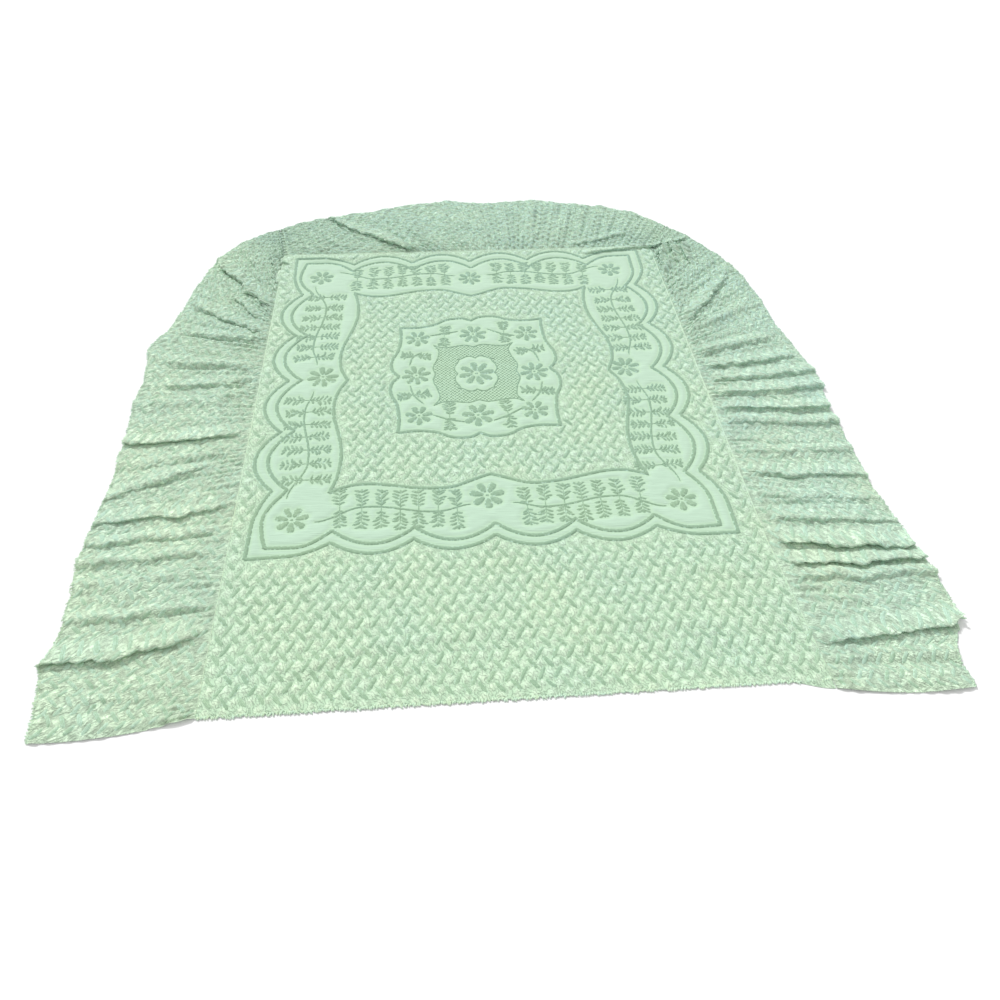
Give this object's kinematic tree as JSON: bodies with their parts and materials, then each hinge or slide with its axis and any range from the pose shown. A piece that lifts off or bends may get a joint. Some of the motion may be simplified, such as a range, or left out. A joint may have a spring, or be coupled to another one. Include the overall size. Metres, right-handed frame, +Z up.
{
  "type": "chenille bedspread",
  "caption": "Sage green chenille bedspread laid out flat: a figured centre panel with a gathered flounce round both sides and the foot.",
  "frame": {"origin": "on the surface the bedspread lies on, under the middle of its whole outline", "axes": "+X across the bedspread, +Y from its head edge to its foot, +Z up"},
  "size_m": [2.2796, 2.3774, 0.026],
  "materials": {
    "figured_chenille": "matt woven cotton with raised pile figures",
    "flounce_chenille": "matt woven cotton with an all-over basket pile"
  },
  "bodies": {
    "root": {"centre_panel": "figured_chenille", "flounce_left": "flounce_chenille", "flounce_foot": "flounce_chenille", "flounce_right": "flounce_chenille"}
  },
  "joints": []
}
